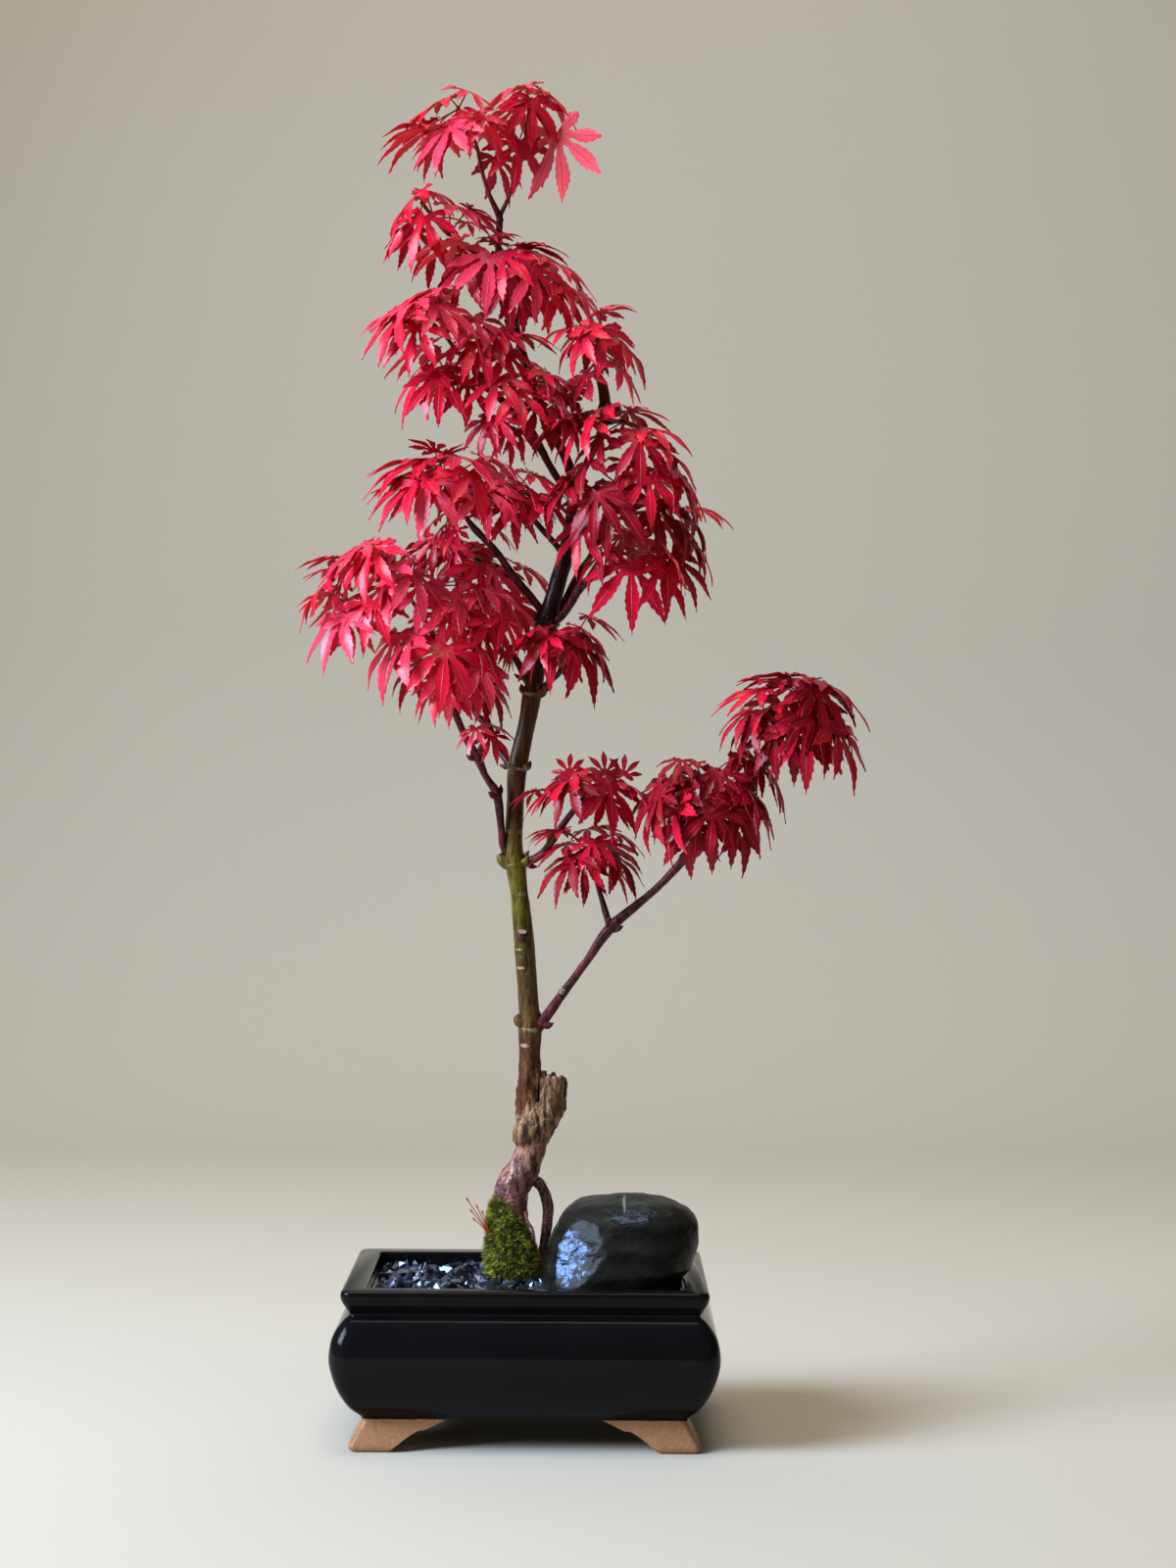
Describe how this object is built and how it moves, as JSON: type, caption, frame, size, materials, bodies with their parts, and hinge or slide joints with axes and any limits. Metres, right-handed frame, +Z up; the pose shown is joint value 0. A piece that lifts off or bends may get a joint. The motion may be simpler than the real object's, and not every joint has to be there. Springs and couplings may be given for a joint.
{
  "type": "bonsai tree in a pot",
  "caption": "Red-leaved Japanese maple bonsai with a slender curved trunk, in a glazed footed pot with gravel, a polished stone and moss at its foot.",
  "frame": {"origin": "middle of the whole plant's bounding box, on the level surface that the pot's feet stand on", "axes": "+Z up along the trunk, -Y towards the front of the pot, +X to the right as seen from the front"},
  "size_m": [0.3014, 0.157, 0.7226],
  "materials": {
    "glaze": "glossy black glaze above bare tan clay feet",
    "screen": "dark moulded mesh",
    "soil": "damp granular soil",
    "gravel": "broken black gravel with glossy faces",
    "stone": "polished dark banded river stone",
    "moss": "short dense moss",
    "bark": "smooth bark, rough at the graft",
    "leaf": "thin satin crimson leaves"
  },
  "bodies": {
    "root": {"drain_screen_left": "screen", "drain_screen_right": "screen", "gravel": "gravel", "moss": "moss", "pot": "glaze", "soil": "soil", "spray_centre": "leaf", "spray_centre_high": "leaf", "spray_centre_left": "leaf", "spray_centre_star": "leaf", "spray_crown": "leaf", "spray_left_back": "leaf", "spray_left_bud": "leaf", "spray_left_high": "leaf", "spray_left_low": "leaf", "spray_left_mid": "leaf", "spray_left_middle": "leaf", "spray_left_star": "leaf", "spray_left_top": "leaf", "spray_left_umbrella": "leaf", "spray_mid_top": "leaf", "spray_right_back": "leaf", "spray_right_end": "leaf", "spray_right_high": "leaf", "spray_right_inner": "leaf", "spray_right_mid": "leaf", "spray_right_middle": "leaf", "spray_right_second": "leaf", "spray_right_star": "leaf", "spray_right_third": "leaf", "spray_right_upper": "leaf", "stone": "stone", "trunk": "bark"}
  },
  "joints": []
}
